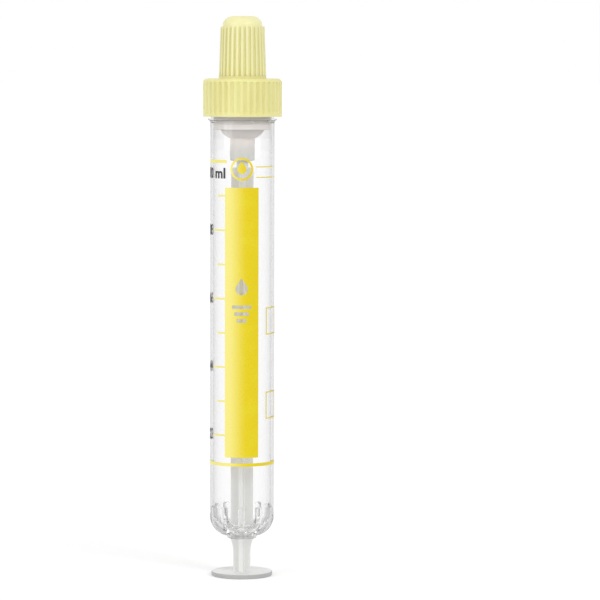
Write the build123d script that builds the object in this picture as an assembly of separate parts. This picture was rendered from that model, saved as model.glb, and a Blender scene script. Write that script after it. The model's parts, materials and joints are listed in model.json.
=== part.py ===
from build123d import *

import math
import os

# Plunger-type specimen tube, standing on the foot of its piston rod, piston pushed right up.
# Millimetres, +Z up, origin at the centre of the underside of the foot disc.
# -Y is the front, where the colour strip is printed.

# Bore and stroke
bore_radius = 6.5
draw_length = 83.3

# Barrel
base_height = 8.9  # underside of the base above the foot
barrel_wall = 0.6
base_corner = 4.4
base_thickness = 1.4
base_corner_step = 0.7  # how much smaller the inner corner of the base is
collar_wall = 0.47
collar_drop = 0.5
collar_bevel = 0.18
guide_wall = 0.7
guide_height = 0.6
inner_rib_count = 10
inner_rib_width = 1.2
inner_rib_depth = 0.95
inner_rib_round = 0.4
flange_overhang = 0.58
flange_edge = 0.3
flange_cove = 0.75
neck_wall = 0.5
neck_rim_round = 0.15

# Piston
hub_radius = 2.74
hub_length = 6.95  # end of the hub to the underside of the lower lip
hub_chamfer = 0.25
hub_clearance = 0.06  # hub in the hole of the base
head_height = 9.25
head_wall = 0.65
lip_height = 1.1
lip_relief = 0.15
lip_clearance = 0.05  # lips in the bore
bowl_depth = 1.95
bowl_floor = 0.9
bowl_clearance = 0.65  # bowl inside the ribs of the base, piston fully drawn

# Piston rod
foot_overhang = 0.27  # foot beyond the bore
foot_thickness = 1.0
foot_edge_round = 0.22
wing_thickness = 0.85
wing_root_fillet = 0.45
wing_clearance = 0.26  # how much slimmer the wings are than the hub
wing_shoulder = 0.5
wing_turn = -5.0
flare_width = 0.58
flare_height = 2.8
flare_gap = 0.4  # flare below the collar of the barrel
break_neck_length = 1.5
break_neck_mouth = 0.1  # clearance of the neck in the mouth of the hub
snap_wall = 0.89
snap_lip = 0.8
snap_overhang = 0.5
snap_head_length = 2.4
snap_clearance = 0.05

# Screw cap and sealing ring
cap_height = 8.4
cap_gap = 0.4  # cap above the flange
cap_wall = 1.12
cap_ceiling = 1.0
cap_top_round = 1.0
cap_thread_room = 0.6
cap_flute_count = 38
cap_flute_radius = 0.5
cap_flute_depth = 0.32
cap_flute_lip = 0.55
cap_flute_headroom = 0.6
boss_height = 0.5
boss_overhang = 0.05
seal_thickness = 0.6
seal_side_gap = 0.1
spigot_wall = 0.5
spigot_clearance = 0.15
piston_top_gap = 0.15  # rim of the piston below the spigot
nozzle_root_radius = 2.15
nozzle_taper = 0.25
nozzle_bore_radius = 0.8

# Tip cap
tip_height = 13.2
tip_base_radius = 5.2
tip_lean = 0.35  # how much slimmer the ribs are at the shoulder
tip_dome_corner = 2.2
tip_dome_wall = 1.1
tip_wall = 0.85
tip_rib_count = 28
tip_rib_depth = 0.46
tip_rib_step = 0.1  # ribs stop below the dome
tip_groove_radius = 0.36
tip_groove_overcut = 0.04  # the grooves run this far into the wall of the dome
tip_sleeve_wall = 0.8
tip_sleeve_foot = 1.2
tip_sleeve_clearance = 0.06
tip_nozzle_gap = 0.3
nozzle_headroom = 2.5  # nozzle below the ceiling of the tip cap

# Print on the barrel: thin fields of ink, with sizes measured round the wall from the front line
ink_thickness = 0.06
ring_line_width = 0.7
ring_line_turn = 200.0  # degrees of the wall that the ring line covers, about the front
strip_width = 7.66
strip_gap = 1.6  # strip above the ring line
strip_headroom = 15.05  # strip below the flange
mark_first_ml = 2
mark_first_rise = 6.45  # first mark above the ring line
mark_headroom = 8.0  # no mark nearer to the flange
mark_width = 0.4
long_mark = 3.48
short_mark = 2.15
last_mark = 7.0
last_mark_width = 0.7
last_mark_overlap = 0.36
emblem_radius = 2.5
emblem_gap = 1.55
emblem_line = 0.45
emblem_drop_radius = 1.0
drop_angle = 35.0  # where the tangents of a drop leave its circle
rule_start = 3.24
rule_length = 6.2
rule_width = 0.22
rule_rises = (2.25, 4.55)
field_start = 5.97
field_width = 6.0
field_height = 6.0
field_line = 0.22
field_rises = (11.4, 30.0)
window_drop_radius = 1.35
window_drop_rise = 7.5
window_bar_width = 0.8
window_bar_pitch = 1.5
window_bar_rise = 3.5
window_bar_lengths = (4.2, 3.2, 2.2)

# Radii worked out from the sizes above
barrel_radius = bore_radius + barrel_wall
flange_radius = barrel_radius + flange_overhang
neck_radius = bore_radius + neck_wall
lip_radius = bore_radius - lip_clearance
cup_radius = lip_radius - head_wall
bowl_radius = bore_radius - inner_rib_depth - bowl_clearance
hub_hole_radius = hub_radius + hub_clearance
guide_radius = hub_hole_radius + guide_wall
collar_radius = hub_hole_radius + collar_wall
foot_radius = bore_radius + foot_overhang
wing_radius = hub_radius - wing_clearance
socket_radius = hub_radius - snap_wall
snap_radius = socket_radius - snap_clearance
break_neck_radius = snap_radius - snap_overhang
cap_bore_radius = neck_radius + cap_thread_room
cap_radius = cap_bore_radius + cap_wall
spigot_radius = bore_radius - spigot_clearance
boss_radius = tip_base_radius + boss_overhang
nozzle_tip_radius = nozzle_root_radius - nozzle_taper

# Heights worked out from the foot upwards
collar_bottom = base_height - collar_drop
base_floor = base_height + base_thickness
guide_top = base_floor + guide_height
rib_top = base_height + hub_length
flare_top = collar_bottom - flare_gap
stem_top = flare_top - flare_height
hub_bottom = base_height + draw_length
wing_top = hub_bottom - break_neck_length
socket_bottom = hub_bottom + snap_lip
snap_bottom = socket_bottom + snap_clearance
snap_top = snap_bottom + snap_head_length
head_bottom = hub_bottom + hub_length
bowl_bottom = head_bottom - bowl_depth
head_top = head_bottom + head_height
spigot_bottom = head_top + piston_top_gap
neck_top = spigot_bottom + spigot_clearance
ceiling_height = neck_top + seal_thickness
cap_top = ceiling_height + cap_ceiling
cap_bottom = cap_top - cap_height
flange_top = cap_bottom - cap_gap
boss_top = cap_top + boss_height
tip_top = boss_top + tip_height
tip_ceiling = tip_top - tip_dome_wall
nozzle_top = tip_ceiling - nozzle_headroom
ring_line_height = head_top - draw_length + ring_line_width / 2
strip_bottom = ring_line_height + strip_gap
strip_top = flange_top - strip_headroom
emblem_height = strip_top + emblem_gap + emblem_radius
past = 1.0  # how far a cut runs past the face that it opens


def revolved(outline):
    """Turns a closed half section, drawn as radius and height, about the Z axis."""
    return revolve(make_face(Plane.XZ * outline), Axis.Z)


def disc(radius, low, high):
    """A plain round solid between two heights."""
    return Pos(0, 0, low) * Cylinder(radius, high - low, align=(Align.CENTER, Align.CENTER, Align.MIN))


def around(solid, count, start=0.0):
    """Copies of a solid, evenly spaced about the Z axis."""
    return [Rot(0, 0, start + 360 * i / count) * solid for i in range(count)]


def piston_rod():
    cross = Rectangle(2 * wing_radius, wing_thickness) + Rectangle(wing_thickness, 2 * wing_radius)
    roots = cross.vertices().sort_by(lambda corner: corner.X**2 + corner.Y**2)[:4]
    cross = fillet(roots, wing_root_fillet)
    shaft = Pos(0, 0, foot_thickness / 2) * extrude(cross, wing_top - foot_thickness / 2)
    # A turned envelope gives the shaft its slim stem, the flare under the barrel and the shoulder.
    stem_radius = wing_radius - flare_width
    shoulder_radius = wing_radius - wing_shoulder
    flare = TangentArc((stem_radius, stem_top), (wing_radius, flare_top), tangent=(0, 1))
    envelope = revolved(
        Polyline((stem_radius, stem_top), (stem_radius, 0), (0, 0), (0, wing_top))
        + Polyline((0, wing_top), (shoulder_radius, wing_top))
        + Polyline((shoulder_radius, wing_top), (wing_radius, wing_top - wing_shoulder))
        + Polyline((wing_radius, wing_top - wing_shoulder), (wing_radius, flare_top))
        + flare
    )
    shaft = Rot(0, 0, wing_turn) * (shaft & envelope)
    foot = disc(foot_radius, 0, foot_thickness)
    foot = fillet(foot.edges().filter_by(GeomType.CIRCLE), foot_edge_round)
    break_neck = disc(break_neck_radius, wing_top - wing_shoulder, snap_bottom)
    head = disc(snap_radius, snap_bottom, snap_top)
    head = chamfer(head.edges().group_by(Axis.Z)[-1], snap_overhang)
    return foot + shaft + break_neck + head


def piston():
    bowl = ThreePointArc(
        (bowl_radius, head_bottom),
        ((bowl_radius + hub_radius) / 2, bowl_bottom + bowl_depth / 3),
        (hub_radius, bowl_bottom),
    )
    relief_radius = lip_radius - lip_relief
    below_lip, above_lip = head_bottom + lip_height, head_top - lip_height
    body = revolved(
        Polyline((0, hub_bottom), (hub_radius - hub_chamfer, hub_bottom))
        + Polyline((hub_radius - hub_chamfer, hub_bottom), (hub_radius, hub_bottom + hub_chamfer))
        + Polyline((hub_radius, hub_bottom + hub_chamfer), (hub_radius, bowl_bottom))
        + bowl
        + Polyline((bowl_radius, head_bottom), (lip_radius, head_bottom), (lip_radius, below_lip))
        + Polyline((lip_radius, below_lip), (relief_radius, below_lip + lip_relief))
        + Polyline((relief_radius, below_lip + lip_relief), (relief_radius, above_lip - lip_relief))
        + Polyline((relief_radius, above_lip - lip_relief), (lip_radius, above_lip), (lip_radius, head_top))
        + Polyline((lip_radius, head_top), (0, head_top), (0, hub_bottom))
    )
    floor = bowl_bottom + bowl_floor
    rim = head_bottom + bowl_floor + lip_relief
    floor_radius = hub_radius - head_wall
    slope = ThreePointArc(
        (floor_radius, floor),
        ((cup_radius + floor_radius) / 2, (floor + rim) / 2 - lip_relief),
        (cup_radius, rim),
    )
    cup = revolved(
        Polyline((floor_radius, floor), (0, floor), (0, head_top + past))
        + Polyline((0, head_top + past), (cup_radius, head_top + past), (cup_radius, rim))
        + slope
    )
    mouth = disc(break_neck_radius + break_neck_mouth, hub_bottom - past, snap_bottom)
    socket = disc(socket_radius, socket_bottom, snap_top + snap_clearance)
    return body - cup - mouth - socket


def barrel():
    corner_centre = barrel_radius - base_corner
    corner_top = base_height + base_corner
    cove_top = flange_top - flange_edge
    cove_bottom = cove_top - flange_cove
    corner = TangentArc((corner_centre, base_height), (barrel_radius, corner_top), tangent=(1, 0))
    cove = TangentArc((barrel_radius, cove_bottom), (flange_radius, cove_top), tangent=(0, 1))
    outside = revolved(
        Polyline((0, flange_top), (0, base_height), (corner_centre, base_height))
        + corner
        + Polyline((barrel_radius, corner_top), (barrel_radius, cove_bottom))
        + cove
        + Polyline((flange_radius, cove_top), (flange_radius, flange_top), (0, flange_top))
    )
    neck = disc(neck_radius, cove_top, neck_top)
    neck = fillet(neck.edges().group_by(Axis.Z)[-1], neck_rim_round)
    collar = disc(collar_radius, collar_bottom, base_floor)
    collar = chamfer(collar.edges().group_by(Axis.Z)[0], collar_bevel)
    guide = disc(guide_radius, base_height, guide_top)
    hollow = barrel_hollow(0)
    ribs = (hollow - barrel_hollow(inner_rib_depth)) & around(inner_rib_slab(), inner_rib_count)
    shell = outside + neck - hollow + collar + guide + ribs
    return shell - disc(hub_hole_radius, collar_bottom - past, guide_top + past)


def barrel_hollow(inset):
    """The inside of the barrel, drawn in by an inset all round."""
    radius = bore_radius - inset
    floor = base_floor + inset
    corner_radius = base_corner - base_corner_step - inset
    corner = TangentArc((radius - corner_radius, floor), (radius, floor + corner_radius), tangent=(1, 0))
    top = neck_top + past
    return revolved(
        Polyline((radius - corner_radius, floor), (0, floor), (0, top))
        + Polyline((0, top), (radius, top), (radius, floor + corner_radius))
        + corner
    )


def inner_rib_slab():
    """An upright slab with a rounded top, which cuts one rib of the base out of a lining."""
    face = Rectangle(inner_rib_width, rib_top - base_height, align=(Align.CENTER, Align.MAX))
    face = fillet(face.vertices().group_by(Axis.Y)[-1], inner_rib_round)
    slab = extrude(Plane.XZ.offset(guide_radius) * face, barrel_radius - guide_radius)
    return Pos(0, 0, rib_top) * slab


def sealing_ring():
    ring = disc(cap_bore_radius - seal_side_gap, neck_top, ceiling_height)
    return ring - disc(bore_radius, neck_top - past, ceiling_height + past)


def screw_cap():
    body = disc(cap_radius, cap_bottom, cap_top)
    body = fillet(body.edges().group_by(Axis.Z)[-1], cap_top_round)
    body -= disc(cap_bore_radius, cap_bottom - past, ceiling_height)
    spigot = disc(spigot_radius, spigot_bottom, ceiling_height)
    spigot -= disc(spigot_radius - spigot_wall, spigot_bottom - past, ceiling_height)
    boss = disc(boss_radius, ceiling_height, boss_top)
    nozzle = Pos(0, 0, boss_top) * Cone(
        nozzle_root_radius,
        nozzle_tip_radius,
        nozzle_top - boss_top,
        align=(Align.CENTER, Align.CENTER, Align.MIN),
    )
    body = body + spigot + boss + nozzle - disc(nozzle_bore_radius, cap_bottom, nozzle_top + past)
    return body - around(cap_groove(), cap_flute_count)


def cap_groove():
    """A round-ended groove, so that each flute ends in an arch under the rounded shoulder."""
    low = cap_bottom + cap_flute_lip + cap_flute_radius
    high = cap_top - cap_flute_headroom - cap_flute_radius
    groove = disc(cap_flute_radius, low, high)
    groove += [Pos(0, 0, end) * Sphere(cap_flute_radius) for end in (low, high)]
    return Pos(cap_radius - cap_flute_depth + cap_flute_radius, 0, 0) * groove


def tip_cap():
    shoulder = tip_top - tip_dome_corner - tip_rib_step
    crest_shoulder = tip_base_radius - tip_lean
    core_base = tip_base_radius - tip_rib_depth
    core_shoulder = crest_shoulder - tip_rib_depth
    dome_radius = core_shoulder - tip_dome_corner
    dome = TangentArc((dome_radius, tip_top), (core_shoulder, tip_top - tip_dome_corner), tangent=(1, 0))
    core = revolved(
        Polyline((0, tip_top), (0, boss_top), (core_base, boss_top), (core_shoulder, shoulder))
        + Polyline((core_shoulder, shoulder), (core_shoulder, tip_top - tip_dome_corner))
        + dome
        + Polyline((dome_radius, tip_top), (0, tip_top))
    )
    crest = revolved(
        Polyline((0, boss_top), (tip_base_radius, boss_top), (crest_shoulder, shoulder))
        + Polyline((crest_shoulder, shoulder), (0, shoulder), (0, boss_top))
    )
    # The grooves between the ribs lean with the side of the cap, so that they are as deep all the way up.
    lean = math.degrees(math.atan2(tip_lean, shoulder - boss_top))
    groove = Rot(0, -lean, 0) * Cylinder(tip_groove_radius, 3 * tip_height)
    groove = Pos(core_base - tip_groove_overcut + tip_groove_radius, 0, boss_top) * groove
    crest -= around(groove, tip_rib_count, 180 / tip_rib_count)
    wall_base, wall_shoulder = core_base - tip_wall, core_shoulder - tip_wall
    inside = revolved(
        Polyline((0, boss_top), (wall_base, boss_top), (wall_shoulder, shoulder), (dome_radius, tip_ceiling))
        + Polyline((dome_radius, tip_ceiling), (0, tip_ceiling), (0, boss_top))
    )
    return core + crest - inside + tip_sleeve()


def tip_sleeve():
    """The inner sleeve of the tip cap, which seals on the nozzle."""
    root = nozzle_root_radius + tip_sleeve_clearance
    end = nozzle_tip_radius + tip_sleeve_clearance
    bore_top = nozzle_top + tip_nozzle_gap
    sleeve = disc(root + tip_sleeve_wall, boss_top + tip_sleeve_foot, tip_ceiling)
    bore = revolved(
        Polyline((0, boss_top), (root, boss_top), (end, nozzle_top))
        + Polyline((end, nozzle_top), (end, bore_top), (0, bore_top), (0, boss_top))
    )
    return sleeve - bore


def ink(start, end, low, high):
    """A field of ink, between two distances to the right of the front line and two heights."""
    from_front = [math.degrees(distance / barrel_radius) for distance in (start, end)]
    section = Pos(barrel_radius + ink_thickness / 2, (low + high) / 2) * Rectangle(ink_thickness, high - low)
    field = revolve(Plane.XZ * section, Axis.Z, from_front[1] - from_front[0])
    return Rot(0, 0, from_front[0] - 90) * field


def through_front(shape, height):
    """A flat shape, set upright at a height and carried out through the front wall."""
    return extrude(Plane.XZ.offset(bore_radius / 2) * Pos(0, height) * shape, bore_radius)


def drop(radius):
    """A drop of liquid: a circle with two tangents that meet above it."""
    tangent = math.radians(drop_angle)
    side, rise = radius * math.cos(tangent), radius * math.sin(tangent)
    point = (0, radius / math.sin(tangent))
    return Circle(radius) + make_face(Polyline((-side, rise), (side, rise), point, close=True))


def colour_strip():
    strip = ink(-strip_width / 2, strip_width / 2, strip_bottom, strip_top)
    middle = (strip_bottom + strip_top) / 2
    strip -= through_front(drop(window_drop_radius), middle + window_drop_rise)
    for row, length in enumerate(window_bar_lengths):
        bar = Rectangle(length, window_bar_width)
        strip -= through_front(bar, middle + window_bar_rise - row * window_bar_pitch)
    return strip


def scale_marks():
    millilitre = 1000 / (math.pi * bore_radius**2)
    first = ring_line_height + mark_first_rise
    count = 1 + int((flange_top - mark_headroom - first) / millilitre)
    marks = []
    for row in range(count):
        last = row == count - 1
        start = strip_width / 2 - (last_mark_overlap if last else 0)
        length = last_mark if last else short_mark if (mark_first_ml + row) % 2 else long_mark
        half = (last_mark_width if last else mark_width) / 2
        height = first + row * millilitre
        marks.append(ink(-start - length, -start, height - half, height + half))
    return marks


def emblem():
    """A plain ring with a drop of liquid in it."""
    shape = Circle(emblem_radius) - Circle(emblem_radius - emblem_line) + drop(emblem_drop_radius)
    half = strip_width / 2
    patch = ink(-half, half, emblem_height - 2 * emblem_radius, emblem_height + 2 * emblem_radius)
    return patch & through_front(shape, emblem_height)


def outlined_field(low):
    """A plain outlined box to the right of the strip."""
    high, end = low + field_height, field_start + field_width
    inside = ink(field_start + field_line, end - field_line, low + field_line, high - field_line)
    return ink(field_start, end, low, high) - inside


def scale_print():
    half, reach = ring_line_width / 2, math.radians(ring_line_turn / 2) * barrel_radius
    fields = [ink(-reach, reach, ring_line_height - half, ring_line_height + half)]
    fields += scale_marks()
    fields.append(emblem())
    for rise in rule_rises:
        low = strip_top + rise - rule_width / 2
        fields.append(ink(rule_start, rule_start + rule_length, low, low + rule_width))
    for rise in field_rises:
        fields.append(outlined_field(strip_bottom + rise - field_height / 2))
    return Compound(children=[solid for field in fields for solid in field.solids()])


pieces = {
    "piston_rod": piston_rod,
    "piston": piston,
    "barrel": barrel,
    "colour_strip": colour_strip,
    "scale_print": scale_print,
    "sealing_ring": sealing_ring,
    "screw_cap": screw_cap,
    "tip_cap": tip_cap,
}
os.makedirs("parts", exist_ok=True)
for name, make in pieces.items():
    export_step(make(), f"parts/{name}.step")
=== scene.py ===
import json
import math

import bmesh
import bpy
from mathutils import Matrix, Vector


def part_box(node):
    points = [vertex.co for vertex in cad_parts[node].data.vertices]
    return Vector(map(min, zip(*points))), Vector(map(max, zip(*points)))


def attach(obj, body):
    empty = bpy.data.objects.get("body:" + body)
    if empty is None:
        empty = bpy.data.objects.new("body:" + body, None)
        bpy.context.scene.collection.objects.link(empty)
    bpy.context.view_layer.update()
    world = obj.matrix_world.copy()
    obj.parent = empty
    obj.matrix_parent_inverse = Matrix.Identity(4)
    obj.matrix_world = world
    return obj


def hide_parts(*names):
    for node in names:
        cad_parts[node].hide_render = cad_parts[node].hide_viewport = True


# Specimen tube with piston, screw cap and tip cap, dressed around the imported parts.
# Metres, +Z up, -Y is the front, as in the parts' own frame.

mm = 0.001
front = -90  # degrees round the tube, the way that -Y points
fullTurn = 360
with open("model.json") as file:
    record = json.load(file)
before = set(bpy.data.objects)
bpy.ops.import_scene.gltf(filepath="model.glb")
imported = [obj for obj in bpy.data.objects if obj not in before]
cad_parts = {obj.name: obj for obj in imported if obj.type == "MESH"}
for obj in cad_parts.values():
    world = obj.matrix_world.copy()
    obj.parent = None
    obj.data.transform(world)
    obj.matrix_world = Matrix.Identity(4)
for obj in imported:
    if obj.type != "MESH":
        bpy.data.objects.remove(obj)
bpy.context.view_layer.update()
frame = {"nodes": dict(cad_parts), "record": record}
parts = frame["nodes"]
mounts = {mount["name"]: mount for mount in frame["record"]["mounts"]}
print("frame loaded,", len(parts), "parts")


# Camera

cameraSetup = {
    "lens": 192.0,  # on a 36 mm sensor, a view of 10.7 degrees
    "sensor": 36.0,
    "distance": 708.5 * mm,  # to the axis of the tube
    "pitch": 4.0,  # degrees down
    "roll": 0.16,  # degrees, the tube leans a little to the left in the picture
    "aimHeight": 61.4 * mm,  # where the middle of the picture meets the axis
    "sideStep": 12.8 * mm,  # the tube stands left of the middle
    "nearest": 0.05,
    "farthest": 60,
}


def makeCamera():
    look = cameraSetup
    data = bpy.data.cameras.new("photoCamera")
    data.lens, data.sensor_width = look["lens"], look["sensor"]
    data.clip_start, data.clip_end = look["nearest"], look["farthest"]
    camera = bpy.data.objects.new("photoCamera", data)
    pitch = math.radians(look["pitch"])
    camera.location = (
        look["sideStep"],
        -look["distance"] * math.cos(pitch),
        look["aimHeight"] + look["distance"] * math.sin(pitch),
    )
    level = Matrix.Rotation(math.pi / 2 - pitch, 3, "X")
    lean = Matrix.Rotation(math.radians(look["roll"]), 3, "Z")
    camera.rotation_euler = (level @ lean).to_euler()
    bpy.context.scene.collection.objects.link(camera)
    bpy.context.scene.camera = camera
    bpy.context.scene.view_settings.view_transform = "Standard"


makeCamera()
print("camera set")


# Nodes, written as sums

class Wire:
    # a socket; sums on it add the nodes that they need
    def __init__(self, finish, socket):
        self.finish, self.socket = finish, socket

    def out(self, name):
        return Wire(self.finish, self.socket.node.outputs[name])

    def sums(self, operation, first, second):
        if self.socket.type == "RGBA":
            return self.finish.mix(1.0, first, second, operation)
        if self.socket.type == "VECTOR":
            sides = {0: asVector(first), 1: asVector(second)}
            return self.finish.node("ShaderNodeVectorMath", {"operation": operation}, sides)
        return self.finish.node("ShaderNodeMath", {"operation": operation}, {0: first, 1: second})

    def __add__(self, other):
        return self.sums("ADD", self, other)

    def __radd__(self, other):
        return self.sums("ADD", other, self)

    def __sub__(self, other):
        return self.sums("SUBTRACT", self, other)

    def __rsub__(self, other):
        return self.sums("SUBTRACT", other, self)

    def __mul__(self, other):
        return self.sums("MULTIPLY", self, other)

    def __rmul__(self, other):
        return self.sums("MULTIPLY", other, self)

    def __pow__(self, other):
        return self.sums("POWER", self, other)

    def most(self, other):
        return self.sums("MAXIMUM", self, other)

    def between(self, low, high, start=0.0, end=1.0):
        # a smooth step from start at low to end at high
        settings = {"interpolation_type": "SMOOTHSTEP"}
        sides = {"Value": self, "From Min": low, "From Max": high, "To Min": start, "To Max": end}
        return self.finish.node("ShaderNodeMapRange", settings, sides)


def asVector(value):
    return (value, value, value) if isinstance(value, (int, float)) else value


def asColour(value):
    return (value, value, value, 1.0) if isinstance(value, (int, float)) else value


class Finish:
    # the node tree of one material, or of the world
    def __init__(self, owner):
        self.owner = owner
        owner.use_nodes = True
        self.tree = owner.node_tree
        self.tree.nodes.clear()

    def node(self, kind, settings=None, sockets=None):
        # settings first, then the values and links of the sockets
        made = self.tree.nodes.new(kind)
        for name, value in (settings or {}).items():
            setattr(made, name, value)
        for name, value in (sockets or {}).items():
            if isinstance(value, Wire):
                self.tree.links.new(value.socket, made.inputs[name])
            else:
                made.inputs[name].default_value = value
        shown = [socket for socket in made.outputs if socket.enabled]
        return Wire(self, shown[0]) if shown else None

    def mix(self, share, first, second, blend="MIX"):
        # sockets 6 and 7 are the two colours
        settings = {"data_type": "RGBA", "blend_type": blend}
        return self.node("ShaderNodeMix", settings, {0: share, 6: asColour(first), 7: asColour(second)})

    def place(self):
        return self.node("ShaderNodeTexCoord").out("Object")

    def axes(self, place):
        split = self.node("ShaderNodeSeparateXYZ", None, {0: place})
        return split.out("X"), split.out("Y"), split.out("Z")

    def noise(self, place, scale, detail=2.0, roughness=0.5):
        sockets = {"Vector": place, "Scale": scale, "Detail": detail, "Roughness": roughness}
        return self.node("ShaderNodeTexNoise", None, sockets)

    def bump(self, height, distance):
        return self.node("ShaderNodeBump", None, {"Height": height, "Distance": distance, "Strength": 1.0})

    def plastic(self, sockets):
        return self.node("ShaderNodeBsdfPrincipled", None, sockets)

    def show(self, shader, inside=None):
        # puts the shader, and what fills the inside, on the output; gives the material back
        ofWorld = isinstance(self.owner, bpy.types.World)
        kind = "ShaderNodeOutputWorld" if ofWorld else "ShaderNodeOutputMaterial"
        sockets = {"Surface": shader, "Volume": inside} if inside else {"Surface": shader}
        self.node(kind, None, sockets)
        return self.owner


def newFinish(name):
    return Finish(bpy.data.materials.new(name))


def linear(red, green, blue):
    # a colour read as 0 to 255, as the light that it stands for
    def one(value):
        value /= 255
        return value / 12.92 if value <= 0.04045 else ((value + 0.055) / 1.055) ** 2.4
    return (one(red), one(green), one(blue), 1.0)


# Light and floor

studio = {
    "worldGlow": 0.68,  # how the world lights the object; it shows as plain white
    "keyPlace": (0.55, -0.7, 0.55),
    "keySpread": 24.0,  # degrees across, as the object sees it
    "keyPower": 0.95,
    "fillPlace": (-0.72, -0.5, 0.3),
    "fillSpread": 44.0,
    "fillPower": 0.9,
    "aim": (0, 0, 0.062),
    "floorHalf": 40.0,
    "floorGlow": 0.34,  # its own light, as the camera sees it
    "floorShade": 0.78,  # what the lamps and shadows add to that
    "floorPale": 0.82,  # how it lights the object
}


def seenDirectly(finish):
    # 1 for rays that show the background: straight, mirrored or through clear plastic
    path = finish.node("ShaderNodeLightPath")
    return path.out("Is Camera Ray").most(path.out("Is Glossy Ray")).most(path.out("Is Transmission Ray"))


def makeLight():
    world = bpy.data.worlds.new("studioWorld")
    bpy.context.scene.world = world
    finish = Finish(world)
    glow = studio["worldGlow"]
    strength = seenDirectly(finish) * (1.0 - glow) + glow
    finish.show(finish.node("ShaderNodeBackground", None, {"Color": asColour(1.0), "Strength": strength}))
    for name in ("key", "fill"):
        lamp = bpy.data.lights.new(name + "Light", "SUN")
        lamp.angle = math.radians(studio[name + "Spread"])
        lamp.energy = studio[name + "Power"]
        holder = bpy.data.objects.new(name + "Light", lamp)
        holder.location = studio[name + "Place"]
        aim = Vector(studio["aim"]) - holder.location
        holder.rotation_euler = aim.to_track_quat("-Z", "Y").to_euler()
        bpy.context.scene.collection.objects.link(holder)


def makeFloor():
    half = studio["floorHalf"]
    corners = [(-half, -half, 0), (half, -half, 0), (half, half, 0), (-half, half, 0)]
    mesh = bpy.data.meshes.new("floor")
    mesh.from_pydata(corners, [], [(0, 1, 2, 3)])
    floor = bpy.data.objects.new("floor", mesh)
    bpy.context.scene.collection.objects.link(floor)
    finish = newFinish("paleFloor")
    lit = finish.node("ShaderNodeBsdfDiffuse", None, {"Color": asColour(studio["floorPale"])})
    shade = finish.node("ShaderNodeBsdfDiffuse", None, {"Color": asColour(studio["floorShade"])})
    glow = finish.node("ShaderNodeEmission", None, {"Color": asColour(1.0), "Strength": studio["floorGlow"]})
    seen = finish.node("ShaderNodeAddShader", None, {0: shade, 1: glow})
    both = finish.node("ShaderNodeMixShader", None, {0: seenDirectly(finish), 1: lit, 2: seen})
    mesh.materials.append(finish.show(both))


makeLight()
makeFloor()
print("light and floor set")


# Moulded plastics

plasticSkin = {
    "drawnOut": (1.0, 1.0, 0.35),  # the flow is longer along the tube
    "flowBand": (0.35, 0.7),  # the part of the noise that shows, from low to high
    "patchScale": 6,  # patches of gloss, this much finer than the flow
    "patchBand": (0.3, 0.7),
    "index": 1.49,
    "reachByColour": (1.0, 0.98, 0.94),  # red light goes a little deeper than blue
}
capLook = {
    "colour": linear(234, 229, 163),
    "flow": linear(228, 221, 150),
    "flowScale": 140.0,  # clouds to a metre
    "grainScale": 5200.0,
    "grainDepth": 0.006 * mm,
    "roughness": (0.34, 0.46),  # from patch to patch
    "glowThrough": 0.45,  # share of the light that goes in and comes out again
    "glowReach": 1.6 * mm,  # how deep it goes
}
# painted light: the tip cap's copy of the cap plastic is painted lighter, to make up for the shade in its
# deep grooves
tipLookLightened = {**capLook, "colour": linear(241, 237, 184), "flow": linear(236, 231, 172)}
sealLook = {
    "colour": linear(238, 237, 231),
    "flow": linear(226, 224, 216),
    "flowScale": 900.0,
    "grainScale": 2600.0,
    "grainDepth": 0.03 * mm,
    "roughness": (0.7, 0.85),
    "glowThrough": 0.05,
    "glowReach": 0.6 * mm,
}


def mouldedPlastic(name, look, ownColour=None):
    # opaque moulded plastic: cloudy flow in the colour, a fine grain on the skin
    finish = newFinish(name)
    place = finish.place()
    flow = finish.noise(place * plasticSkin["drawnOut"], look["flowScale"], detail=3.0)
    base = finish.mix(flow.between(*plasticSkin["flowBand"]), look["colour"], look["flow"])
    if ownColour:
        base = ownColour(finish, place, base)
    grain = finish.noise(place, look["grainScale"])
    patches = finish.noise(place, look["flowScale"] * plasticSkin["patchScale"])
    return finish.show(finish.plastic({
        "Base Color": base,
        "Roughness": patches.between(*plasticSkin["patchBand"], *look["roughness"]),
        "IOR": plasticSkin["index"],
        "Subsurface Weight": look["glowThrough"],
        "Subsurface Radius": plasticSkin["reachByColour"],
        "Subsurface Scale": look["glowReach"],
        "Normal": finish.bump(grain, look["grainDepth"]),
    }))


rodLook = {
    "colour": linear(240, 241, 240),
    "flow": linear(230, 230, 228),
    "shaft": linear(229, 229, 227),
    "shaftFrom": 1.05 * mm,  # just above the foot disc
    "shaftTo": 1.6 * mm,
    "rim": linear(178, 178, 177),  # painted shade on the edge of the foot disc
    "rimShadeFrom": 6.56 * mm,
    "rimShadeTo": 6.72 * mm,
    "flowScale": 120.0,
    "grainScale": 4200.0,
    "grainDepth": 0.004 * mm,
    "roughness": (0.3, 0.42),
    "glowThrough": 0.1,
    "glowReach": 1.0 * mm,
}


def rodColourAndShade(finish, place, base):
    # painted shade on the edge of the foot disc; the shaft is a little darker than the disc's faces
    x, y, z = finish.axes(place)
    radius = (x * x + y * y) ** 0.5
    onShaft = z.between(rodLook["shaftFrom"], rodLook["shaftTo"])
    rimShadeShare = radius.between(rodLook["rimShadeFrom"], rodLook["rimShadeTo"])
    return finish.mix(rimShadeShare, finish.mix(onShaft, base, rodLook["shaft"]), rodLook["rim"])


pistonLook = {
    # painted light: the head's colour is lighter and warmer than the hub's
    "colour": linear(248, 236, 231),
    "flow": linear(240, 231, 226),
    "hub": linear(214, 216, 211),
    "hubBelow": 92.5 * mm,
    "headLightFrom": 98.0 * mm,
    "flowScale": 200.0,
    "grainScale": 4000.0,
    "grainDepth": 0.004 * mm,
    "roughness": (0.36, 0.5),
    "glowThrough": 0.7,
    "glowReach": 3.0 * mm,
}


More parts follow.
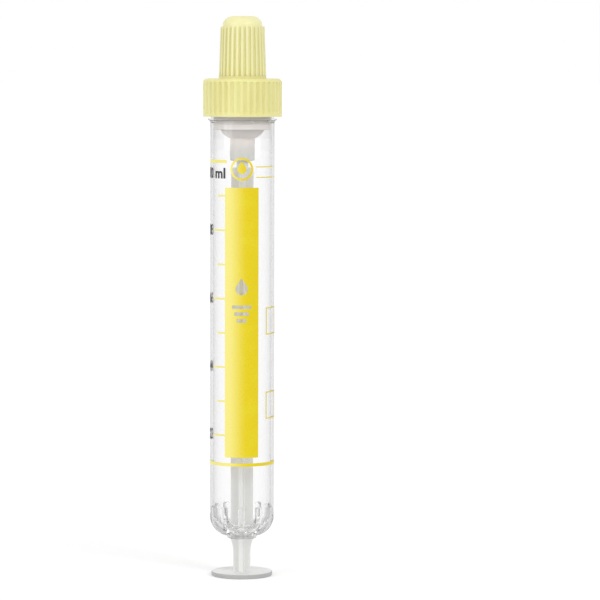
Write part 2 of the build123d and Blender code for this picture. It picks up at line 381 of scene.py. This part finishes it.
def pistonColourAndLight(finish, place, base):
    # painted light: the head is painted lighter and warmer than the hub, a painted warm reflection that also
    # makes up for the shade under the cap; neutral towards the end of the hub
    height = finish.axes(place)[2]
    share = height.between(pistonLook["hubBelow"], pistonLook["headLightFrom"])
    return finish.mix(share, pistonLook["hub"], base)


# Inks

inkSkin = {
    "cloudBand": (0.45, 0.75),
    "thinMost": 0.5,  # share of the thin colour where the ink is thinnest
    "toothBand": (0.3, 0.7),
    "gloss": 0.3,  # ink mirrors less than plastic
}
yellowLook = {
    "colour": linear(228, 205, 8),
    "thin": linear(232, 216, 40),  # where the ink is thinner
    "paintedSheen": linear(246, 235, 134),
    "paintedSheenFrom": 1.4 * mm,  # painted sheen: paler from here to the left, a painted highlight of the light from the left
    "paintedSheenTo": -3.6 * mm,
    "cloudScale": 260.0,
    "grainScale": 3000.0,
    "grainDepth": 0.008 * mm,
    "roughness": (0.26, 0.34),
}
numberLook = {
    "colour": linear(62, 62, 66),
    "thin": linear(84, 84, 88),
    "cloudScale": 900.0,
    "grainScale": 3000.0,
    "grainDepth": 0.008 * mm,
    "roughness": (0.4, 0.52),
}


def screenInk(name, look):
    # printed ink: a little thinner here and there, with the fine tooth that the screen leaves
    finish = newFinish(name)
    place = finish.place()
    cloud = finish.noise(place, look["cloudScale"], detail=4.0, roughness=0.6)
    tooth = finish.noise(place, look["grainScale"], detail=1.0)
    thin = cloud.between(*inkSkin["cloudBand"]) * inkSkin["thinMost"]
    base = finish.mix(thin, look["colour"], look["thin"])
    # painted sheen: the ink is painted paler towards the left, standing in for the sheen of the light there
    if "paintedSheen" in look:
        across = finish.axes(place)[0]
        base = finish.mix(1.0 - across.between(look["paintedSheenTo"], look["paintedSheenFrom"]), base, look["paintedSheen"])
    return finish.show(finish.plastic({
        "Base Color": base,
        "Roughness": tooth.between(*inkSkin["toothBand"], *look["roughness"]),
        "Specular IOR Level": inkSkin["gloss"],
        "Normal": finish.bump(tooth, look["grainDepth"]),
    }))


# Clear plastic

clearLook = {
    "face": 0.985,  # how clear the wall is, seen face on
    "edgeShade": 0.08,  # painted shade: greyer at its edges, for the dark edges that refraction shows; it greys faster with a lower power
    "edgeShadePower": 2.15,
    "boreEdgeShade": 0.01,  # the same painted shade for the bore
    "boreEdgeShadePower": 3.4,
    "ribSideShade": 0.7,  # painted shade: greyer on the sides of the ribs and on the collar, for the dark lines that refraction shows there
    "index": 1.49,
    "drawnOut": (1.0, 1.0, 0.2),  # the ripple is longer along the tube
    "rippleScale": 60.0,
    "rippleDepth": 0.002 * mm,
    "patchScale": 5,  # patches of gloss, this much finer than the ripple
    "patchBand": (0.4, 0.8),
    "roughness": (0.015, 0.05),
    "shadow": 0.98,  # share of the lamps' light that each wall lets on
    "greyness": 52.0,  # absorbed a metre, by the depth of plastic that light crosses
    "absorbed": 0.5,  # the grey that it is absorbed to
    "crossings": 24,  # a ray crosses or mirrors in the walls many times
}


def clearPlastic():
    # clear moulded plastic: the volume greys the light by the depth it crosses, and the base colour holds
    # painted shade, greyer at the edges, on the sides of the ribs and on the collar
    look = clearLook
    finish = newFinish("clearMouldedPlastic")
    place = finish.place()
    bore = finish.node("ShaderNodeAttribute", {"attribute_name": "bore"}).out("Fac")
    ribShadeShare = finish.node("ShaderNodeAttribute", {"attribute_name": "ribSideShade"}).out("Fac")
    facing = finish.node("ShaderNodeLayerWeight", None, {"Blend": 0.5}).out("Facing")
    # painted shade: the base colour darkens where the wall is seen edge on
    outerEdgeShaded = finish.mix(facing ** look["edgeShadePower"], look["face"], look["edgeShade"])
    inner = finish.mix(facing ** look["boreEdgeShadePower"], look["face"], look["boreEdgeShade"])
    base = finish.mix(ribShadeShare, finish.mix(bore, outerEdgeShaded, inner), look["ribSideShade"])
    ripple = finish.noise(place * look["drawnOut"], look["rippleScale"], detail=1.0)
    patches = finish.noise(place, look["rippleScale"] * look["patchScale"])
    clear = finish.plastic({
        "Base Color": base,
        "Roughness": patches.between(*look["patchBand"], *look["roughness"]),
        "IOR": look["index"],
        "Transmission Weight": 1.0,
        "Normal": finish.bump(ripple, look["rippleDepth"]),
    })
    letOn = finish.node("ShaderNodeBsdfTransparent", None, {"Color": asColour(look["shadow"])})
    path = finish.node("ShaderNodeLightPath")
    ofLamps = path.out("Is Shadow Ray").most(path.out("Is Diffuse Ray"))
    both = finish.node("ShaderNodeMixShader", None, {0: ofLamps, 1: clear, 2: letOn})
    absorbing = {"Color": asColour(look["absorbed"]), "Density": look["greyness"]}
    return finish.show(both, finish.node("ShaderNodeVolumeAbsorption", None, absorbing))


def letLightCross():
    paths = bpy.context.scene.cycles
    paths.max_bounces = clearLook["crossings"]
    paths.transmission_bounces = clearLook["crossings"]
    paths.glossy_bounces = clearLook["crossings"]
    paths.transparent_max_bounces = clearLook["crossings"]


capPlastic = mouldedPlastic("paleYellowPlastic", capLook)
tipPlastic = mouldedPlastic("paleYellowTipPlastic", tipLookLightened)
rodPlastic = mouldedPlastic("whitePlastic", rodLook, rodColourAndShade)
pistonPlastic = mouldedPlastic("milkyPlastic", pistonLook, pistonColourAndLight)
sealFoam = mouldedPlastic("softSealFoam", sealLook)
yellowInk = screenInk("yellowScreenInk", yellowLook)
numberInk = screenInk("greyScreenInk", numberLook)
clearWall = clearPlastic()
letLightCross()

partFinishes = {
    "piston_rod": rodPlastic,
    "piston": pistonPlastic,
    "colour_strip": yellowInk,
    "scale_print": yellowInk,
    "sealing_ring": sealFoam,
    "screw_cap": capPlastic,
    "tip_cap": tipPlastic,
}
for name, material in partFinishes.items():
    parts[name].data.materials.clear()
    parts[name].data.materials.append(material)
print("finishes made")


# Meshes

def addPiece(name, points, faces, material, body):
    # a smooth mesh, sharp along edges that turn more than the angle
    sharpAngle = math.radians(32)
    mesh = bpy.data.meshes.new(name)
    mesh.from_pydata(points, [], faces)
    mesh.materials.append(material)
    mesh.polygons.foreach_set("use_smooth", [True] * len(mesh.polygons))
    mesh.set_sharp_from_angle(angle=sharpAngle)
    mesh.update()
    piece = bpy.data.objects.new(name, mesh)
    bpy.context.scene.collection.objects.link(piece)
    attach(piece, body)
    return piece


def loftRound(columns, closed=True):
    # joins loops of points, each with as many points, into a tube of quads
    points = [point for column in columns for point in column]
    size, count = len(columns[0]), len(columns)
    faces = []
    for i in range(count if closed else count - 1):
        for j in range(size):
            here, there = i * size, (i + 1) % count * size
            after = (j + 1) % size
            faces.append((here + j, there + j, there + after, here + after))
    return points, faces


def spread(start, end, steps):
    return [start + (end - start) * k / steps for k in range(steps + 1)]


def arcPoints(centre, radius, start, end, steps):
    # points of an arc in a half section, angles in degrees from the outward radius
    turns = [math.radians(turn) for turn in spread(start, end, steps)]
    return [(centre[0] + radius * math.cos(turn), centre[1] + radius * math.sin(turn)) for turn in turns]


# Barrel

barrelForm = {
    "wall": 0.6 * mm,
    "cornerRadius": 4.4 * mm,
    "cornerStep": 0.7 * mm,
    "baseThickness": 1.4 * mm,
    "hole": 2.8 * mm,
    "collarWall": 0.47 * mm,
    "collarDrop": 0.5 * mm,
    "collarBevel": 0.18 * mm,
    "guideWall": 0.7 * mm,
    "guideHeight": 0.6 * mm,
    "ribCount": 10,
    "ribHalf": 6.2,  # degrees
    "ribEdge": 0.7,  # degrees, the slope of its sides
    "ribWays": (-1.0, -0.88, -0.5, 0.0, 0.5, 0.88, 1.0),  # columns across a rib, 1 is its edge
    "ribShoulder": 0.9,  # share of its depth at the edge
    "ribDepth": 0.95 * mm,
    "ribTop": 5.52 * mm,  # above the floor of the bore
    "ribTopRound": 0.4 * mm,
    "ribTopFlat": 0.4,  # share of the half width that stays level at the top
    "ribTopRise": 0.02 * mm,  # height of the face that leads on to a rib
    "flangeEdge": 0.3 * mm,
    "flangeCove": 0.75 * mm,
    "neckHeight": 7.2 * mm,
    "neckWall": 0.5 * mm,
    "rimRound": 0.15 * mm,
}
barrelRows = {
    "columnStep": 3.0,  # degrees between the columns from rib to rib
    "corner": 20,
    "wall": 10,
    "cove": 6,
    "rim": 4,
    "bore": 8,
    "rib": 5,
    "base": 12,
    "guide": 2,
    "collar": 3,  # rows from the hole to the corner, the first of a section
    "hole": 2,  # rows up the hole, the last of a section
}
threadForm = {
    "pitch": 3.0 * mm,
    "turns": 1.6,
    "start": 1.5 * mm,  # above the flange
    "height": 0.42 * mm,
    "root": 0.5 * mm,  # half the width at its foot
    "crest": 0.22 * mm,  # and at its crest
    "runOut": 40.0,  # degrees over which it rises and fades
    "rowStep": 0.09 * mm,
    "capTurns": 1.3,
    "capSteps": 96,
    "capRoot": 0.62 * mm,  # foot of the cap's thread to the neck
    "capGap": 0.14 * mm,  # crest of the cap's thread to the neck
    "capLeast": 0.05,  # share of its height at its very ends
}


def measureBarrel():
    # radii and heights, from the form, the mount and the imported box
    form = barrelForm
    low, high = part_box("barrel")
    radius = mounts["barrel_outside"]["dims"]["r_mm"] * mm
    bore = radius - form["wall"]
    base = low.z + form["collarDrop"]
    floor = base + form["baseThickness"]
    return {
        "radius": radius,
        "bore": bore,
        "neck": bore + form["neckWall"],
        "flange": high.x,
        "collar": form["hole"] + form["collarWall"],
        "guide": form["hole"] + form["guideWall"],
        "bottom": low.z,
        "base": base,
        "floor": floor,
        "flangeTop": high.z - form["neckHeight"],
        "rimBottom": high.z - form["rimRound"],
        "neckTop": high.z,
    }


barrel = measureBarrel()


def ribColumns():
    # angles round the barrel, each with the share of a rib's depth there and the way from its middle
    form = barrelForm
    half = form["ribHalf"]
    pitch = fullTurn / form["ribCount"]
    gap = pitch - 2 * half
    steps = round(gap / barrelRows["columnStep"])
    columns = []
    for k in range(form["ribCount"]):
        middle = front + pitch * k
        for way in form["ribWays"]:
            depth = form["ribShoulder"] if abs(way) == 1 else 1.0
            columns.append((middle + way * (half - form["ribEdge"]), depth, abs(way)))
        columns += [(middle + half + gap * step / steps, 0.0, 1.0) for step in range(steps + 1)]
    return columns


def outsideLine():
    # half section from the hole, round the collar and the corner, up the wall and over the flange
    form, rows = barrelForm, barrelRows
    hole, collar, radius, bottom = form["hole"], barrel["collar"], barrel["radius"], barrel["bottom"]
    corner, bevel = form["cornerRadius"], form["collarBevel"]
    centre = (radius - corner, barrel["base"] + corner)
    collarTurn = -math.degrees(math.acos((collar - centre[0]) / corner))
    coveRise, coveRun = form["flangeCove"], barrel["flange"] - radius
    coveRadius = (coveRun**2 + coveRise**2) / (2 * coveRun)
    coveTurn = math.degrees(math.asin(coveRise / coveRadius))
    coveBottom = barrel["flangeTop"] - form["flangeEdge"] - coveRise
    line = [(hole, bottom), (collar - bevel, bottom), (collar, bottom + bevel)]
    line += arcPoints(centre, corner, collarTurn, 0, rows["corner"])
    line += [(radius, height) for height in spread(centre[1], coveBottom, rows["wall"])[1:-1]]
    line += arcPoints((radius + coveRadius, coveBottom), -coveRadius, 0, -coveTurn, rows["cove"])
    line += [(barrel["flange"], barrel["flangeTop"]), (barrel["neck"], barrel["flangeTop"])]
    return line


def threadRise(height, turn):
    # how far the thread stands out of the neck, at a height above its start
    form = threadForm
    length = form["turns"] * fullTurn
    tallest = 0.0
    for k in range(int(form["turns"]) + 1):
        along = turn + fullTurn * k
        if along > length:
            continue
        off = abs(height - form["pitch"] * along / fullTurn)
        slope = (form["root"] - off) / (form["root"] - form["crest"])
        ends = min(along, length - along) / form["runOut"]
        tallest = max(tallest, min(max(slope, 0.0), 1.0) * min(ends, 1.0))
    return form["height"] * tallest


def neckLine(turn):
    # up the neck with its thread, and over the rim
    neck, flangeTop, rimBottom = barrel["neck"], barrel["flangeTop"], barrel["rimBottom"]
    rows = round((rimBottom - flangeTop) / threadForm["rowStep"])
    line = []
    for height in spread(flangeTop, rimBottom, rows)[1:-1]:
        rise = threadRise(height - flangeTop - threadForm["start"], turn)
        line.append((neck + rise, height))
    rimRound = barrelForm["rimRound"]
    line += arcPoints((neck - rimRound, rimBottom), rimRound, 0, 90, barrelRows["rim"])
    return line + [(barrel["bore"], barrel["neckTop"])]


def insideLine(weight, way):
    # down the bore, over the ribs and the floor, to the hole
    form, rows = barrelForm, barrelRows
    bore, depth = barrel["bore"], weight * form["ribDepth"]
    innerCorner = form["cornerRadius"] - form["cornerStep"]
    centre = (bore - innerCorner, barrel["floor"] + innerCorner)
    topRound, topFlat = form["ribTopRound"], form["ribTopFlat"]
    short = max(way - topFlat, 0.0) / (1.0 - topFlat) * topRound
    drop = topRound - math.sqrt(max(topRound**2 - short**2, 0.0)) if weight else 0.0
    top = barrel["floor"] + form["ribTop"] - drop
    boreHeights = spread(barrel["neckTop"], top + form["ribTopRise"], rows["bore"])
    line = [(bore, height) for height in boreHeights[1:]]
    line += [(bore - depth, height) for height in spread(top, centre[1], rows["rib"])[:-1]]
    bend = innerCorner - depth
    end = math.degrees(math.acos((barrel["guide"] - centre[0]) / bend))
    line += arcPoints(centre, bend, 0, -end, rows["base"])
    guideTop = barrel["floor"] + form["guideHeight"]
    line += [(barrel["guide"], height) for height in spread(line[-1][1], guideTop, rows["guide"])[1:]]
    return line + [(form["hole"], guideTop), (form["hole"], (guideTop + barrel["bottom"]) / 2)]


def markFaces(piece, size):
    # tells the clear finish which faces line the bore, and which are the collar and the sides of ribs, where
    # it paints shade
    rows = barrelRows
    weights = [weight for turn, weight, way in ribColumns()]
    boreFrom, holeFrom = size - len(insideLine(0.0, 1.0)), size - rows["hole"]
    ribFrom = boreFrom + rows["bore"] - 1
    ribTo = boreFrom + rows["bore"] + rows["rib"] + rows["base"] + 1
    bores, sides = [], []
    for number in range(len(piece.data.polygons)):
        column, row = divmod(number, size)
        pair = (weights[column], weights[(column + 1) % len(weights)])
        onRib = ribFrom <= row < ribTo and min(pair) == 0 < max(pair)
        onCollar = row < rows["collar"] or row >= holeFrom
        bores.append(1.0 if boreFrom <= row < holeFrom else 0.0)
        sides.append(1.0 if onRib or onCollar else 0.0)
    for name, shares in (("bore", bores), ("ribSideShade", sides)):
        piece.data.attributes.new(name, "FLOAT", "FACE").data.foreach_set("value", shares)


def makeBarrel():
    outside = outsideLine()
    columns = []
    for turn, weight, way in ribColumns():
        section = outside + neckLine((turn - front) % fullTurn) + insideLine(weight, way)
        across, along = math.cos(math.radians(turn)), math.sin(math.radians(turn))
        columns.append([(r * across, r * along, z) for r, z in section])
    points, faces = loftRound(columns)
    piece = addPiece("clearBarrel", points, faces, clearWall, "barrel")
    markFaces(piece, len(columns[0]))
    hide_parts("barrel")


makeBarrel()
print("barrel made")


def makeCapThread():
    # the thread inside the screw cap, half a pitch above the thread on the neck
    form = threadForm
    wall, crest = barrel["neck"] + form["capRoot"], barrel["neck"] + form["capGap"]
    start = barrel["flangeTop"] + form["start"] + form["pitch"] / 2
    length = form["capTurns"] * fullTurn
    loops = []
    for along in spread(0.0, length, form["capSteps"]):
        turn = math.radians(front + along)
        height = start + form["pitch"] * along / fullTurn
        rise = max(min(min(along, length - along) / form["runOut"], 1.0), form["capLeast"])
        inner = wall + (crest - wall) * rise
        section = [
            (wall, height - form["root"]),
            (inner, height - form["crest"]),
            (inner, height + form["crest"]),
            (wall, height + form["root"]),
        ]
        loops.append([(r * math.cos(turn), r * math.sin(turn), z) for r, z in section])
    points, faces = loftRound(loops, closed=False)
    faces = [tuple(reversed(face)) for face in faces]
    last = len(points) - len(section)
    faces += [(0, 1, 2, 3), (last + 3, last + 2, last + 1, last)]
    addPiece("capThread", points, faces, capPlastic, "screw_cap")


makeCapThread()
print("cap thread made")


# Numbers on the scale

numberForm = {
    "height": 2.4 * mm,
    "thickness": 0.05 * mm,
    "bold": 0.03,  # how far the letters are widened, of the size of the font
    "weld": 0.00001,  # of the size of the font
    "slice": 0.25 * mm,  # width of the strips that bend round the barrel
    "words": ("2", "4", "6", "8"),
    "turn": -76.0,  # degrees left of the front
    "firstHeight": 31.9 * mm,
    "step": 15.068 * mm,  # two millilitres
    "lastWords": "10 mI",  # its last letter is a plain bar, as on the print
    "lastTurn": -57.0,
    "lastHeight": 89.6 * mm,
}


def flatWords(words):
    # the words as one flat mesh, centred, with digits of the height asked for
    form = numberForm
    curve = bpy.data.curves.new("words", "FONT")
    curve.body, curve.offset = words, form["bold"]
    curve.fill_mode = "FRONT"
    holder = bpy.data.objects.new("words", curve)
    bpy.context.scene.collection.objects.link(holder)
    bpy.context.view_layer.update()
    mesh = bpy.data.meshes.new_from_object(holder)
    bpy.data.objects.remove(holder)
    flat = bmesh.new()
    flat.from_mesh(mesh)
    bpy.data.meshes.remove(mesh)
    bmesh.ops.remove_doubles(flat, verts=flat.verts, dist=form["weld"])
    xs = [vert.co.x for vert in flat.verts]
    ys = [vert.co.y for vert in flat.verts]
    size = form["height"] / (max(ys) - min(ys))
    middle = ((max(xs) + min(xs)) / 2, (max(ys) + min(ys)) / 2)
    for vert in flat.verts:
        vert.co = ((vert.co.x - middle[0]) * size, (vert.co.y - middle[1]) * size, 0)
    return flat


def wrapWords(words, turn, middle):
    # lays the words on the barrel at an angle from the front, as a thin film of ink
    form, radius = numberForm, barrel["radius"]
    flat = flatWords(words)
    reach = max(abs(vert.co.x) for vert in flat.verts)
    cuts = int(reach / form["slice"])
    for k in range(-cuts, cuts + 1):
        geometry = list(flat.verts) + list(flat.edges) + list(flat.faces)
        cut = (k * form["slice"], 0, 0)
        bmesh.ops.bisect_plane(flat, geom=geometry, plane_co=cut, plane_no=(1, 0, 0))
    raised = bmesh.ops.extrude_face_region(flat, geom=list(flat.faces))
    for item in raised["geom"]:
        if isinstance(item, bmesh.types.BMVert):
            item.co.z = form["thickness"]
    for vert in flat.verts:
        angle = math.radians(front + turn) + vert.co.x / radius
        out = radius + vert.co.z
        vert.co = (out * math.cos(angle), out * math.sin(angle), middle + vert.co.y)
    bmesh.ops.recalc_face_normals(flat, faces=flat.faces)
    return flat


def makeNumbers():
    form = numberForm
    rows = [
        (words, form["turn"], form["firstHeight"] + k * form["step"])
        for k, words in enumerate(form["words"])
    ]
    rows.append((form["lastWords"], form["lastTurn"], form["lastHeight"]))
    points, faces = [], []
    for words, turn, middle in rows:
        film = wrapWords(words, turn, middle)
        film.verts.index_update()
        first = len(points)
        points += [tuple(vert.co) for vert in film.verts]
        faces += [tuple(first + vert.index for vert in face.verts) for face in film.faces]
        film.free()
    addPiece("scaleNumbers", points, faces, numberInk, "barrel")


makeNumbers()
print("numbers laid on")
